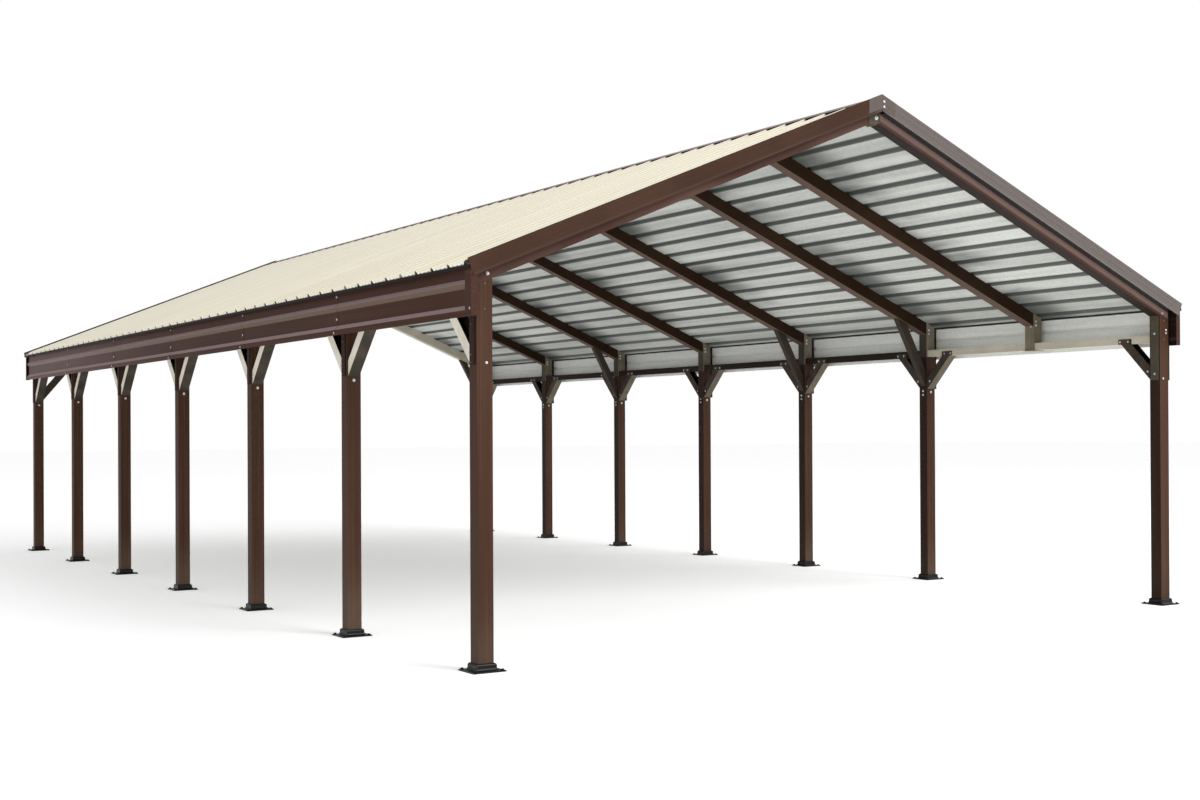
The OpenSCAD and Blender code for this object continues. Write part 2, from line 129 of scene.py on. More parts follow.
lens = bpy.data.cameras.new("picture_lens")
lens.sensor_width = 36
lens.lens = FOCAL_PX * lens.sensor_width / PICTURE[0]
lens.shift_x = (PICTURE[0] / 2 - CENTRE_PX[0]) / PICTURE[0]
lens.shift_y = (CENTRE_PX[1] - PICTURE[1] / 2) / PICTURE[0]
lens.clip_end = 400
camera = bpy.data.objects.new("picture_camera", lens)
camera.matrix_world = Matrix.Translation(CAMERA_AT) @ Matrix((cam_x, cam_y, -forward)).transposed().to_4x4()
scene.collection.objects.link(camera)
scene.camera = camera
print("lens", round(lens.lens, 2), "shift", round(lens.shift_x, 3), round(lens.shift_y, 3))

# %% [markdown]
# ## Shader maths as plain expressions
# A finish is easier to read as a formula than as a tangle of nodes. `Wire` wraps one socket: arithmetic
# on it adds Math nodes, and `node` adds any other node, first its settings and then its sockets.

# %% Shader maths
class Wire:
    """One socket of a material's tree, or only the tree before there is a socket."""

    def __init__(self, tree, socket=None):
        self.tree = tree
        self.socket = socket

    def plug(self, target, value):
        if isinstance(value, Wire):
            self.tree.links.new(value.socket, target)
        else:
            target.default_value = value

    def node(self, kind, settings=None, sockets=None, out=0):
        made = self.tree.nodes.new(kind)
        for name, value in (settings or {}).items():
            setattr(made, name, value)
        for name, value in (sockets or {}).items():
            self.plug(made.inputs[name], value)
        return Wire(self.tree, made.outputs[out])

    def maths(self, operation, first, second):
        return self.node("ShaderNodeMath", {"operation": operation}, {0: first, 1: second})

    def __add__(self, other):
        return self.maths("ADD", self, other)

    def __radd__(self, other):
        return self.maths("ADD", other, self)

    def __sub__(self, other):
        return self.maths("SUBTRACT", self, other)

    def __rsub__(self, other):
        return self.maths("SUBTRACT", other, self)

    def __mul__(self, other):
        return self.maths("MULTIPLY", self, other)

    def __rmul__(self, other):
        return self.maths("MULTIPLY", other, self)

    def __gt__(self, other):
        return self.maths("GREATER_THAN", self, other)

    def __lt__(self, other):
        return self.maths("LESS_THAN", self, other)

    def ramp(self, low, high):
        """0 below low, 1 above high and a soft step between."""
        spread = {"From Min": low, "From Max": high, "Value": self}
        return self.node("ShaderNodeMapRange", {"interpolation_type": "SMOOTHSTEP"}, spread)

    def blend(self, first, second):
        """A mix of two colours by this value."""
        return self.node("ShaderNodeMix", {"data_type": "RGBA"}, {0: self, 6: first, 7: second}, 2)

    def noise(self, scale, detail=3.0, stretch=(1, 1, 1)):
        """Cloudy noise on these coordinates, drawn out where stretch is small."""
        place = self.node("ShaderNodeMapping", None, {"Vector": self, "Scale": stretch})
        return self.node("ShaderNodeTexNoise", None, {"Vector": place, "Scale": scale, "Detail": detail})

    def bumps(self, strength, depth):
        """The normal of a surface that this height dents."""
        return self.node("ShaderNodeBump", None, {"Strength": strength, "Distance": depth, "Height": self})


def colour(red, green, blue):
    """A colour as a paint chart gives it, 0 to 255, in linear light."""
    parts = [v / 255 for v in (red, green, blue)]
    return tuple(p / 12.92 if p <= 0.04045 else ((p + 0.055) / 1.055) ** 2.4 for p in parts) + (1.0,)


def start_finish(name):
    """A new material, its shader, and its Object coordinates."""
    material = bpy.data.materials.new(name)
    material.use_nodes = True
    shader = next(n for n in material.node_tree.nodes if n.type == "BSDF_PRINCIPLED")
    place = Wire(material.node_tree).node("ShaderNodeTexCoord", out="Object")
    return material, shader, place


def normal_part(place, axis):
    """One part of the surface's own normal."""
    facing = place.node("ShaderNodeNewGeometry", out="Normal")
    return place.node("ShaderNodeSeparateXYZ", None, {0: facing}, axis)


def place_part(place, axis):
    """One part of the Object coordinates."""
    return place.node("ShaderNodeSeparateXYZ", None, {0: place}, axis)


def size_of(value):
    """A value without its sign."""
    return value.node("ShaderNodeMath", {"operation": "ABSOLUTE"}, {0: value})


def roof_level(place):
    """How far a point is over the underside of the rafters, square to the slope."""
    return (place_part(place, "Z") - APEX_Z) * COS + size_of(place_part(place, "X")) * SIN


def set_shader(shader, place, **values):
    for name, value in values.items():
        place.plug(shader.inputs[name.replace("_", " ")], value)


print("finishes so far", len(bpy.data.materials))

# %% [markdown]
# ## Light
# A white studio gives soft light from all round, stronger from the front than from the left, so that the
# front faces of the posts stand out from their sides. The camera itself sees plain white. Two large
# panels lift the gable and the roof.

# %% Light
scene.view_settings.view_transform = "Standard"
BRIGHT_SIDE = Vector((0.5, -0.8, 0.33)).normalized()
WHITE = (1, 1, 1, 1)


def soft_panel(name, at, aim, size, watts):
    """A large square lamp that faces a point."""
    lamp = bpy.data.lights.new(name, "AREA")
    lamp.size = size
    lamp.energy = watts
    panel = bpy.data.objects.new(name, lamp)
    panel.location = at
    panel.rotation_euler = (Vector(aim) - Vector(at)).to_track_quat("-Z", "Y").to_euler()
    scene.collection.objects.link(panel)
    return panel


surround = bpy.data.worlds.new("white_surround")
surround.use_nodes = True
air = Wire(surround.node_tree)
ray = air.node("ShaderNodeTexCoord", out="Generated")
toward = air.node("ShaderNodeVectorMath", {"operation": "DOT_PRODUCT"}, {0: ray, 1: BRIGHT_SIDE}, "Value")
glow = air.node("ShaderNodeMapRange", None, {"Value": toward, "From Min": -1, "From Max": 1, "To Min": 0.36,
                                             "To Max": 0.95})
lit = air.node("ShaderNodeBackground", None, {"Color": WHITE, "Strength": glow})
plain = air.node("ShaderNodeBackground", None, {"Color": WHITE, "Strength": 1.0})
seen = air.node("ShaderNodeLightPath", out="Is Camera Ray")
choice = air.node("ShaderNodeMixShader", None, {0: seen, 1: lit, 2: plain})
air.plug(surround.node_tree.nodes["World Output"].inputs["Surface"], choice)
scene.world = surround
lamps = [
    soft_panel("front_panel", (5, -24, 15), (0, -2, 1.5), 10, 3400),
    soft_panel("right_panel", (22, -8, 14), (0, 0, 1.5), 12, 900),
]
print("lamps", [lamp.name for lamp in lamps])

# %% [markdown]
# ## Floor
# The floor only has to be pale and quiet, so one square with a faint cloud and a little glow is enough. It
# is left off the carport's body, so it isn't part of the carport.

# %% Floor
FLOOR_R = 140
floor_finish, shader, place = start_finish("pale_floor")
cloud = place.noise(0.35, 4)
pale = cloud.blend((0.93, 0.93, 0.93, 1), (0.96, 0.96, 0.96, 1))
set_shader(shader, place, Base_Color=pale, Roughness=0.9, Emission_Color=WHITE, Emission_Strength=0.3)
floor_mesh = bpy.data.meshes.new("floor")
floor_mesh.from_pydata([(x * FLOOR_R, y * FLOOR_R, 0) for x, y in ((-1, -1), (1, -1), (1, 1), (-1, 1))],
                       [], [(0, 1, 2, 3)])
floor_mesh.materials.append(floor_finish)
floor = bpy.data.objects.new("floor", floor_mesh)
scene.collection.objects.link(floor)
print("floor", FLOOR_R * 2, "m wide")

# %% [markdown]
# ## Painted steel
# The tubes are coated brown at the mill. Such paint is never quite even: rolling leaves faint lines along
# the tube, handling leaves paler rubs, and rain splashes dust on the feet. The inner faces on the right are
# painted darker as shade. Faces turned down can take a painted colour: lighter on the rafters, as light from
# the floor, and darker on the gable rafter, as shade. A painted highlight can run across the front faces on
# the right. One function makes all the browns, because only the colours and the direction of the lines
# differ.

# %% Painted steel
DUST = colour(150, 138, 122)
# Near-black painted shade, for faces and corners that the light misses.
PAINTED_SHADE = colour(32, 24, 20)
SHINE = 0.08
STRIP_N = 0.042


def painted_steel(name, base, rubbed, lines, gloss=0.42, dust=0.15, under=None, strip=None):
    material, shader, place = start_finish(name)
    cloud = place.noise(0.8, 4)
    rolled = place.noise(1.0, 5, lines)
    grit = place.noise(70, 2)
    splash = (1 - place_part(place, "Z").ramp(0.05, 0.55)) * cloud.ramp(0.3, 0.8) * dust
    paint = (rolled.ramp(0.35, 0.8) * 0.7).blend(base, rubbed)
    paint = (cloud.ramp(0.55, 0.8) * 0.35).blend(paint, rubbed)
    paint = splash.blend(paint, DUST)
    # Faces turned down take a given colour: painted light from the floor on the rafters, painted shade on
    # the gable rafter.
    if under:
        paint = (normal_part(place, "Z") * -1).ramp(0.5, 0.8).blend(paint, under)
    # A painted highlight: a soft band at one height over the slope, on the front faces on the right.
    if strip:
        sunny = (place_part(place, "X") > 0) * (normal_part(place, "Y") < -0.5)
        band = 1 - size_of(roof_level(place) - STRIP_N).ramp(0.008, 0.032)
        paint = (sunny * band * 0.9).blend(paint, strip)
    # Painted shade: the inner faces of the right-hand parts are darkened.
    inner_face_shade = (place_part(place, "X") > 0) * (normal_part(place, "X") < -0.5) * 0.7
    paint = inner_face_shade.blend(paint, PAINTED_SHADE)
    relief = rolled * 0.6 + grit * 0.25
    set_shader(shader, place, Base_Color=paint, Roughness=gloss + rolled * 0.16 + splash * 0.2,
               Specular_IOR_Level=SHINE, Normal=relief.bumps(0.25, 0.002))
    return material


UPRIGHT_LINES, ALONG_LINES, SLOPE_LINES = (60, 60, 0.7), (30, 0.5, 60), (1.2, 60, 1.2)
post_brown = painted_steel("post_brown_paint", colour(63, 41, 30), colour(85, 61, 47), UPRIGHT_LINES, 0.42)
# The rafters' pale undersides are painted light from the floor; the gable rafter's dark underside is painted
# shade.
rafter_brown = painted_steel("rafter_brown_paint", colour(41, 27, 16), colour(55, 38, 25), SLOPE_LINES, 0.5,
                             under=colour(88, 70, 60))
gable_brown = painted_steel("gable_brown_paint", colour(68, 45, 37), colour(98, 73, 65), SLOPE_LINES, 0.45,
                            under=colour(36, 27, 22), strip=colour(136, 113, 106))
# The stand-off straps take a darker brown than the posts, as painted shade.
strap_shaded_brown = painted_steel("strap_brown_paint", colour(42, 28, 23), colour(58, 41, 35), UPRIGHT_LINES, 0.5)
header_brown = painted_steel("header_brown_paint", colour(46, 33, 26), colour(62, 47, 39), ALONG_LINES, 0.5)
print("painted", post_brown.name, rafter_brown.name, header_brown.name)

# %% [markdown]
# ## Galvanised sheet and dull zinc tube
# Hot zinc freezes into flat crystals called spangle, each a slightly different grey. A Voronoi texture
# gives those crystals, and stretched noise gives the faint streaks of the mill along the sheet.

# %% Zinc finishes
DULL_SHINE = 0.2


def spangle(place, size):
    """A random value for each zinc crystal."""
    crystals = place.node("ShaderNodeTexVoronoi", None, {"Vector": place, "Scale": 1 / size}, "Color")
    return place.node("ShaderNodeSeparateColor", None, {0: crystals})


def zinc_tone(place, dark, pale, streaks):
    """Colour, roughness and height of a zinc coat."""
    cells = spangle(place, 0.018)
    streak = place.noise(1.0, 4, streaks)
    tone = (cells * 0.35 + streak.ramp(0.3, 0.75) * 0.65).blend(dark, pale)
    return tone, 0.42 + cells * 0.1 + streak * 0.12, streak * 0.7 + cells * 0.2


def zinc_sheet(name, dark, pale, streaks, metal):
    material, shader, place = start_finish(name)
    tone, rough, relief = zinc_tone(place, dark, pale, streaks)
    set_shader(shader, place, Base_Color=tone, Roughness=rough, Metallic=metal,
               Normal=relief.bumps(0.2, 0.002))
    return material


def dull_tube(name, base, pale, lines):
    """Zinc tube that has gone matt and taupe out of doors."""
    material, shader, place = start_finish(name)
    cloud = place.noise(5, 5)
    rolled = place.noise(1.0, 4, lines)
    stain = place.noise(22, 3).ramp(0.62, 0.8) * 0.3
    tone = (cloud.ramp(0.25, 0.75) * 0.6 + rolled.ramp(0.3, 0.8) * 0.4).blend(base, pale)
    tone = stain.blend(tone, colour(96, 84, 68))
    relief = rolled * 0.5 + place.noise(90, 2) * 0.3
    set_shader(shader, place, Base_Color=tone, Roughness=0.55 + cloud * 0.15, Specular_IOR_Level=DULL_SHINE,
               Normal=relief.bumps(0.2, 0.002))
    return material


DECK_PITCH, RIDGE_GAP, SHADOW_AHEAD = 0.209, 0.003, 0.14


def deck_sheet(name):
    """Zinc deck seen from below: its ribs are grooves painted dark as shade, each rafter's shadow is painted
    on the deck in front of it, and pale patches are painted reflections.
    """
    material, shader, place = start_finish(name)
    tone, rough, relief = zinc_tone(place, colour(180, 182, 177), colour(216, 218, 212), (14, 0.35, 14))
    far = size_of(place_part(place, "X")) * (1 / COS) - slope_s(RIDGE_GAP, DECK_N) - DECK_N * FALL
    step = place.node("ShaderNodeMath", {"operation": "FRACT"}, {0: far * (1 / DECK_PITCH)})
    # Painted shade: the grooves between the flats are darkened.
    groove_shade = 1 - size_of(step - 0.5).ramp(0.12, 0.2)
    along = place_part(place, "Y")
    # The shadow of each rafter is painted on the deck just in front of it.
    shade = 0.0
    for y in frame_y:
        before = 1 - size_of(along - (y - SHADOW_AHEAD)).ramp(0.06, 0.48)
        shade = before + shade
    cloud = place.noise(1.0, 4, (1.8, 0.5, 1.8))
    # Dark smudges: faint and patchy all over, and strong beside each rafter, where they are its painted
    # shadow.
    smudge_and_shadow = cloud.ramp(0.36, 0.64) * (0.2 + shade * 0.75)
    # Pale streaky patches are painted on as reflections.
    painted_reflection = place.noise(1.0, 3, (3.0, 0.25, 3.0)).ramp(0.5, 0.75) * 0.35
    tone = painted_reflection.blend(tone, colour(238, 239, 235))
    tone = smudge_and_shadow.blend(tone, colour(84, 87, 83))
    tone = (groove_shade * 0.9).blend(tone, colour(74, 79, 76))
    set_shader(shader, place, Base_Color=tone, Roughness=rough, Metallic=0.15,
               Normal=relief.bumps(0.2, 0.002))
    return material


deck_zinc = deck_sheet("deck_zinc")
stub_taupe = dull_tube("stub_taupe", colour(104, 97, 80), colour(128, 120, 102), UPRIGHT_LINES)
beam_taupe = dull_tube("beam_taupe", colour(178, 171, 154), colour(204, 198, 183), ALONG_LINES)
plate_olive = dull_tube("plate_olive", colour(66, 60, 49), colour(84, 77, 64), UPRIGHT_LINES)
bolt_zinc = zinc_sheet("bolt_zinc", colour(196, 198, 200), colour(238, 240, 242), (20, 20, 20), 0.8)
print("zinc", deck_zinc.name, stub_taupe.name, beam_taupe.name, plate_olive.name, bolt_zinc.name)

# %% [markdown]
# ## Braces and heads with two tones
# A brace is a channel: its cheeks and its web are seen in quite different tones, and so are the sides and
# the front of a post's head. The surface's own normal tells them apart, so one finish covers both and no
# face has to be picked by hand. The dark cheeks of the right braces and the dark sides of the heads are
# painted shade, and so are the near-black faces inside the braces' channels.

# %% Brace finish
def two_tone_brace(name, cheek, cheek_pale, web, web_pale, hollow_shade=0.0):
    material, shader, place = start_finish(name)
    cloud = place.noise(9, 5)
    rolled = place.noise(1.0, 3, (40, 6, 6))
    is_cheek = size_of(normal_part(place, "X")) > 0.8
    wear = cloud.ramp(0.3, 0.75)
    tone = is_cheek.blend(wear.blend(web, web_pale), wear.blend(cheek, cheek_pale))
    # Painted shade: inside the channel, faces turned in towards the post's line and faces turned up under
    # the roof are darkened to near-black.
    across = place_part(place, "X")
    outward = normal_part(place, "X") * ((across > 0) * 2 - 1)
    turned_in = (size_of(across) - HALF) * outward < -0.01
    hollow_shade_mask = place.maths("MAXIMUM", turned_in, normal_part(place, "Z") > 0.3) * hollow_shade
    tone = hollow_shade_mask.blend(tone, colour(14, 13, 12))
    relief = rolled * 0.5 + place.noise(80, 2) * 0.3
    set_shader(shader, place, Base_Color=tone, Roughness=0.5 + cloud * 0.15, Specular_IOR_Level=DULL_SHINE,
               Normal=relief.bumps(0.2, 0.002))
    return material


left_brace = two_tone_brace("left_brace_tan", colour(214, 207, 191), colour(232, 226, 212),
                            colour(52, 45, 38), colour(72, 63, 54), 0.9)
# The right braces' dark cheeks are painted shade.
right_brace = two_tone_brace("right_brace_brown", colour(52, 42, 34), colour(70, 58, 49),
                             colour(86, 77, 63), colour(106, 97, 82), 0.9)
cross_olive = dull_tube("cross_olive", colour(48, 40, 32), colour(66, 56, 46), SLOPE_LINES)
# The heads' dark sides are painted shade.
head_taupe = two_tone_brace("head_taupe", colour(52, 46, 38), colour(70, 63, 52),
                            colour(112, 104, 88), colour(136, 127, 110))
print("braces", left_brace.name, right_brace.name, cross_olive.name, head_taupe.name)

# %% [markdown]
# ## Folded trims and ribbed fascias
# The trims are thin coated sheet, so they show long soft waves that a tube doesn't. Slopes that face the
# sky carry a painted mauve highlight, and slopes that face the ground a painted tan reflection of the
# ground. The fascias are coated brown outside and bare zinc inside: outside faces point away from the
# middle of the building. The fascias get the painted highlight a little more towards the back, and their
# inside faces past the zinc, near the gables, are painted near-black as shade.

# %% Trim finishes
# A painted sky highlight, a painted reflection of the ground, and a grey for the right-hand half.
SKY_HIGHLIGHT, GROUND_REFLECTION, RIGHT_HALF_GREY = colour(168, 145, 146), colour(112, 95, 80), colour(101, 95, 93)
ZINC_END, FAR_HIGHLIGHT = 5.95, 0.24


def trim_sheet(name, base, rubbed, lines, right_grey_share=0.0, painted_light_share=0.0, zinc_inside=False):
    """Coated sheet with a painted sky highlight and ground reflection on its slopes, greyer on the
    right-hand half by a given share.
    """
    material, shader, place = start_finish(name)
    cloud = place.noise(0.9, 4)
    rolled = place.noise(1.0, 5, lines)
    across = place_part(place, "X")
    upward = normal_part(place, "Z")
    paint = (rolled.ramp(0.35, 0.8) * 0.6 + cloud.ramp(0.4, 0.8) * 0.3).blend(base, rubbed)
    # The right-hand half is blended towards grey.
    paint = (across.ramp(-0.1, 0.1) * right_grey_share).blend(paint, RIGHT_HALF_GREY)
    # Painted light: a mauve highlight on faces turned up to the sky, and a tan reflection of the ground on
    # faces turned down.
    paint = (upward.ramp(0.25, 0.6) * painted_light_share).blend(paint, SKY_HIGHLIGHT)
    paint = ((upward * -1).ramp(0.25, 0.5) * painted_light_share).blend(paint, GROUND_REFLECTION)
    rough = 0.4 + rolled * 0.14
    relief = place.noise(2.2, 1) * 1.5 + rolled * 0.4 + place.noise(80, 2) * 0.15
    if zinc_inside:
        outside = (across > 0) * 2 - 1
        within = ZINC_END > size_of(place_part(place, "Y"))
        inward = (normal_part(place, "X") * outside * -1) > 0.05
        inside = inward * within
        # Painted shade: inside faces past the zinc, near the gables, are darkened to near-black.
        paint = (inward * (1 - within) * 0.9).blend(paint, PAINTED_SHADE)
        # The painted sky highlight grows a little stronger towards the back.
        paint = (place_part(place, "Y").ramp(-1, 6) * FAR_HIGHLIGHT).blend(paint, SKY_HIGHLIGHT)
        zinc, zinc_rough, _ = zinc_tone(place, colour(228, 230, 225), colour(250, 251, 247), (14, 0.4, 14))
        paint = inside.blend(paint, zinc)
        rough = rough + inside * (zinc_rough - rough)
    set_shader(shader, place, Base_Color=paint, Roughness=rough, Specular_IOR_Level=SHINE,
               Normal=relief.bumps(0.2, 0.004))
    return material


TRIM, TRIM_RUB = colour(56, 36, 26), colour(76, 52, 41)
rake_brown = trim_sheet("rake_brown_sheet", TRIM, TRIM_RUB, SLOPE_LINES, right_grey_share=0.85, painted_light_share=0.04)
edge_brown = trim_sheet("edge_brown_sheet", colour(58, 35, 27), colour(78, 52, 43), ALONG_LINES)
cap_brown = trim_sheet("cap_brown_sheet", colour(78, 56, 49), colour(104, 82, 75), ALONG_LINES, painted_light_share=0.7)
fascia_brown = trim_sheet("fascia_brown_sheet", colour(61, 35, 23), colour(80, 50, 38), ALONG_LINES,
                          painted_light_share=0.75, zinc_inside=True)
eave_dark = trim_sheet("eave_dark_sheet", colour(22, 17, 15), colour(36, 29, 26), ALONG_LINES)
cover_taupe = dull_tube("cover_taupe", colour(76, 66, 62), colour(94, 83, 79), SLOPE_LINES)
print("trims", rake_brown.name, edge_brown.name, cap_brown.name, fascia_brown.name, eave_dark.name)

# %% [markdown]
# ## Cream roof sheets
# Rain and dust run down the pans and leave faint ochre streaks from the ridge to the eave. They are noise
# drawn out down the slope, a little stronger near the eave, under a satin coat. An ochre band halfway up
# each rib's flanks is painted shade, and the sheets' cut ends and the corners beside the rake trims are
# painted near-black as shade.

# %% Cream roof
FLANK_SHADE_N = PAN_N + 0.010
CORNER_SHADE_X, CORNER_SHADE_Y = EAVE_X - 0.055, 6.05
roof_cream, shader, place = start_finish("roof_cream_coat")
cloud = place.noise(0.5, 4)
runs = place.noise(1.0, 5, (0.5, 22, 0.5))
low_down = 1 - place_part(place, "Z").ramp(2.4, 3.5)
grime = runs.ramp(0.5, 0.85) * (0.25 + low_down * 0.3)
tone = (cloud.ramp(0.3, 0.8) * 0.6).blend(colour(229, 227, 215), colour(219, 215, 201))
tone = grime.blend(tone, colour(204, 195, 173))
# Painted shade: an ochre band halfway up the flanks of each rib.
flank = size_of(normal_part(place, "Y")).ramp(0.2, 0.5)
height = roof_level(place)
flank_shade = 1 - size_of(height - FLANK_SHADE_N).ramp(0.003, 0.008)
tone = (flank * flank_shade * 0.6).blend(tone, colour(196, 182, 148))
# Painted shade: the sheets' cut ends are darkened to near-black.
cut_end = size_of(normal_part(place, "X")) > 0.8
tone = (cut_end * 0.85).blend(tone, PAINTED_SHADE)
# Painted shade: the corners beside the rake trims are darkened to near-black.
corner = (size_of(place_part(place, "X")) > CORNER_SHADE_X) * (size_of(place_part(place, "Y")) > CORNER_SHADE_Y)
tone = (corner * 0.9).blend(tone, PAINTED_SHADE)
relief = cloud * 0.6 + runs * 0.2
set_shader(shader, place, Base_Color=tone, Roughness=0.4 + grime * 0.3, Normal=relief.bumps(0.12, 0.004))
print("roof", roof_cream.name)

# %% [markdown]
# ## Black shoes and foam closures
# The base shoes are black, glossy on their shoulders and grey with dust in the hollows. The closures that
# plug the sheet ends are matt black foam with a fine pore.

# %% Black finishes
shoe_black, shader, place = start_finish("shoe_black_coat")
cloud = place.noise(14, 4)
lying = normal_part(place, "Z").ramp(0.6, 1.0)
settled = lying * cloud.ramp(0.35, 0.75) * 0.25
set_shader(shader, place, Base_Color=settled.blend(colour(12, 12, 12), colour(62, 58, 54)),
           Specular_IOR_Level=0.22, Roughness=0.24 + settled * 0.6 + cloud * 0.1,
           Normal=place.noise(120, 2).bumps(0.15, 0.001))

foam_black, shader, place = start_finish("closure_black_foam")
pore = place.node("ShaderNodeTexVoronoi", None, {"Vector": place, "Scale": 500}, "Distance")
set_shader(shader, place, Base_Color=pore.blend(colour(12, 12, 12), colour(34, 32, 30)), Roughness=0.9,
           Normal=pore.bumps(0.4, 0.001))
print("black", shoe_black.name, foam_black.name)

# %% [markdown]
# ## Finishes on the solids
# The solids have the right shape, so they stay and only get a finish.

# %% Dress the solids
dressing = {
    post_brown: [n for n in nodes if "_post_" in n and n[-1].isdigit()],
    strap_shaded_brown: ["stand_offs"],
    rafter_brown: [f"rafter_{i}" for i in range(2, 8)],
    gable_brown: ["rafter_1"],
    header_brown: ["left_header", "right_header"],
    stub_taupe: ["hanging_stub", "ridge_plates"],
    head_taupe: ["left_post_heads", "right_post_heads"],
    plate_olive: ["front_post_plates"],
    beam_taupe: ["right_front_header", "rafter_8"],
    left_brace: ["left_knee_braces"],
    right_brace: ["right_knee_braces"],
    cross_olive: ["cross_braces"],
    rake_brown: ["front_rake_trims", "back_rake_trims"],
    edge_brown: ["front_corner_trims"],
    cap_brown: ["ridge_cap"],
    fascia_brown: ["left_fascia", "right_fascia"],
    # The back corner trims take the near-black eave finish as painted shade.
    eave_dark: ["eave_trims", "back_corner_trims"],
    deck_zinc: ["left_deck", "right_deck"],
    roof_cream: ["left_roof_sheet", "right_roof_sheet"],
    shoe_black: ["left_shoes", "right_shoes"],
}
for finish, names in dressing.items():
    for name in names:
        nodes[name].data.materials.clear()
        nodes[name].data.materials.append(finish)
print("dressed", sum(len(names) for names in dressing.values()), "of", len(nodes))

# %% [markdown]
# ## Trees that repeat a piece
# Screws, ribs and closures are the same piece many times over, so Geometry Nodes make them: a cloud of
# points says where, vectors on the points say which way they face, and a tree puts a piece on each one.
# `grow` runs a tree once and keeps a plain mesh, because the export drops instances.

# %% Helpers for trees
class Grower:
    """A Geometry Nodes tree with named inputs, built node by node."""

    def __init__(self, name, numbers):
        self.tree = bpy.data.node_groups.new(name, "GeometryNodeTree")
        face = self.tree.interface
        face.new_socket("Places", in_out="INPUT", socket_type="NodeSocketGeometry")
        for label in numbers:
            face.new_socket(label, in_out="INPUT", socket_type="NodeSocketFloat")
        face.new_socket("Finish", in_out="INPUT", socket_type="NodeSocketMaterial")
        face.new_socket("Made", in_out="OUTPUT", socket_type="NodeSocketGeometry")
        self.inputs = self.tree.nodes.new("NodeGroupInput").outputs

    def add(self, kind, settings=None, sockets=None, out=0):
        made = self.tree.nodes.new(kind)
        for name, value in (settings or {}).items():
            setattr(made, name, value)
        for name, value in (sockets or {}).items():
            for one in value if isinstance(value, list) else [value]:
                if isinstance(one, bpy.types.NodeSocket):
                    self.tree.links.new(one, made.inputs[name])
                else:
                    made.inputs[name].default_value = one
        return made.outputs[out]

    def sum(self, operation, first, second):
        return self.add("ShaderNodeMath", {"operation": operation}, {0: first, 1: second})

    def vector(self, name):
        return self.add("GeometryNodeInputNamedAttribute", {"data_type": "FLOAT_VECTOR"}, {"Name": name})

    def close(self, made):
        real = self.add("GeometryNodeRealizeInstances", None, {0: made})
        coated = self.add("GeometryNodeSetMaterial", None, {0: real, "Material": self.inputs["Finish"]})
        end = self.tree.nodes.new("NodeGroupOutput")
        self.tree.links.new(coated, end.inputs[0])
        return self.tree


def keep(piece):
    """Links a finished piece and lets it ride on the one body."""
    scene.collection.objects.link(piece)
    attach(piece, "root")
    print(piece.name, "faces", len(piece.data.polygons))
    return piece


def grow(name, tree, places, vectors, sizes, finish):
    """Runs a tree over the places and keeps its result as a plain mesh."""
    cloud = bpy.data.meshes.new(name + "_places")
    cloud.from_pydata([tuple(p) for p in places], [], [])
    for label, values in vectors.items():
        attribute = cloud.attributes.new(label, "FLOAT_VECTOR", "POINT")
        attribute.data.foreach_set("vector", [part for v in values for part in v])
    seed = bpy.data.objects.new(name + "_seed", cloud)
    scene.collection.objects.link(seed)
    modifier = seed.modifiers.new("grow", "NODES")
    modifier.node_group = tree
    sockets = {s.name: s.identifier for s in tree.interface.items_tree if s.in_out == "INPUT"}
    for label, value in {**sizes, "Finish": finish}.items():
        modifier[sockets[label]] = value
    graph = bpy.context.evaluated_depsgraph_get()
    made = bpy.data.meshes.new_from_object(seed.evaluated_get(graph))
    bpy.data.objects.remove(seed)
    made.name = name
    return keep(bpy.data.objects.new(name, made))


print("tree helpers ready")

# %% [markdown]
# ## The fastener tree
# Every bolt and screw here is a washer, a six-sided head with a chamfer, and a tip: the shank's end on a
# nut, or a small boss on a screw. Sizes are inputs, so the same tree makes roof screws and anchor nuts.
# Each head is turned by a random angle with a fixed seed, because nobody lines screws up.

# %% Fastener tree
g = Grower("fastener", ["Head Radius", "Head Height", "Washer Radius", "Washer Height", "Tip Radius",
                        "Tip Height"])
size = g.inputs
BODY, CHAMFER, NARROW, SPIN_SEED = 0.72, 0.28, 0.8, 7


def disc(radius, depth, sides, base):
    """A cylinder that stands on a height."""
    ring = g.add("GeometryNodeMeshCylinder", None, {"Vertices": sides, "Radius": radius, "Depth": depth})
    middle_z = g.sum("ADD", base, g.sum("MULTIPLY", depth, 0.5))
    lift = g.add("ShaderNodeCombineXYZ", None, {"Z": middle_z})
    return g.add("GeometryNodeTransform", None, {0: ring, "Translation": lift})


body_h = g.sum("MULTIPLY", size["Head Height"], BODY)
bevel_h = g.sum("MULTIPLY", size["Head Height"], CHAMFER)
bevel_z = g.sum("ADD", size["Washer Height"], body_h)
cone = g.add("GeometryNodeMeshCone", None, {
    "Vertices": 6, "Radius Top": g.sum("MULTIPLY", size["Head Radius"], NARROW),
    "Radius Bottom": size["Head Radius"], "Depth": bevel_h})
cone = g.add("GeometryNodeTransform", None, {
    0: cone, "Translation": g.add("ShaderNodeCombineXYZ", None, {"Z": bevel_z})})
tip_z = g.sum("ADD", size["Washer Height"], size["Head Height"])
whole = g.add("GeometryNodeJoinGeometry", None, {0: [
    disc(size["Washer Radius"], size["Washer Height"], 12, 0.0),
    disc(size["Head Radius"], body_h, 6, size["Washer Height"]),
    cone, disc(size["Tip Radius"], size["Tip Height"], 8, tip_z)]})
turned = g.add("FunctionNodeAlignRotationToVector", {"axis": "Z"}, {"Vector": g.vector("facing")})
copies = g.add("GeometryNodeInstanceOnPoints", None, {
    "Points": size["Places"], "Instance": whole, "Rotation": turned})
turn = {2: 0.0, 3: math.pi / 3, "Seed": SPIN_SEED}
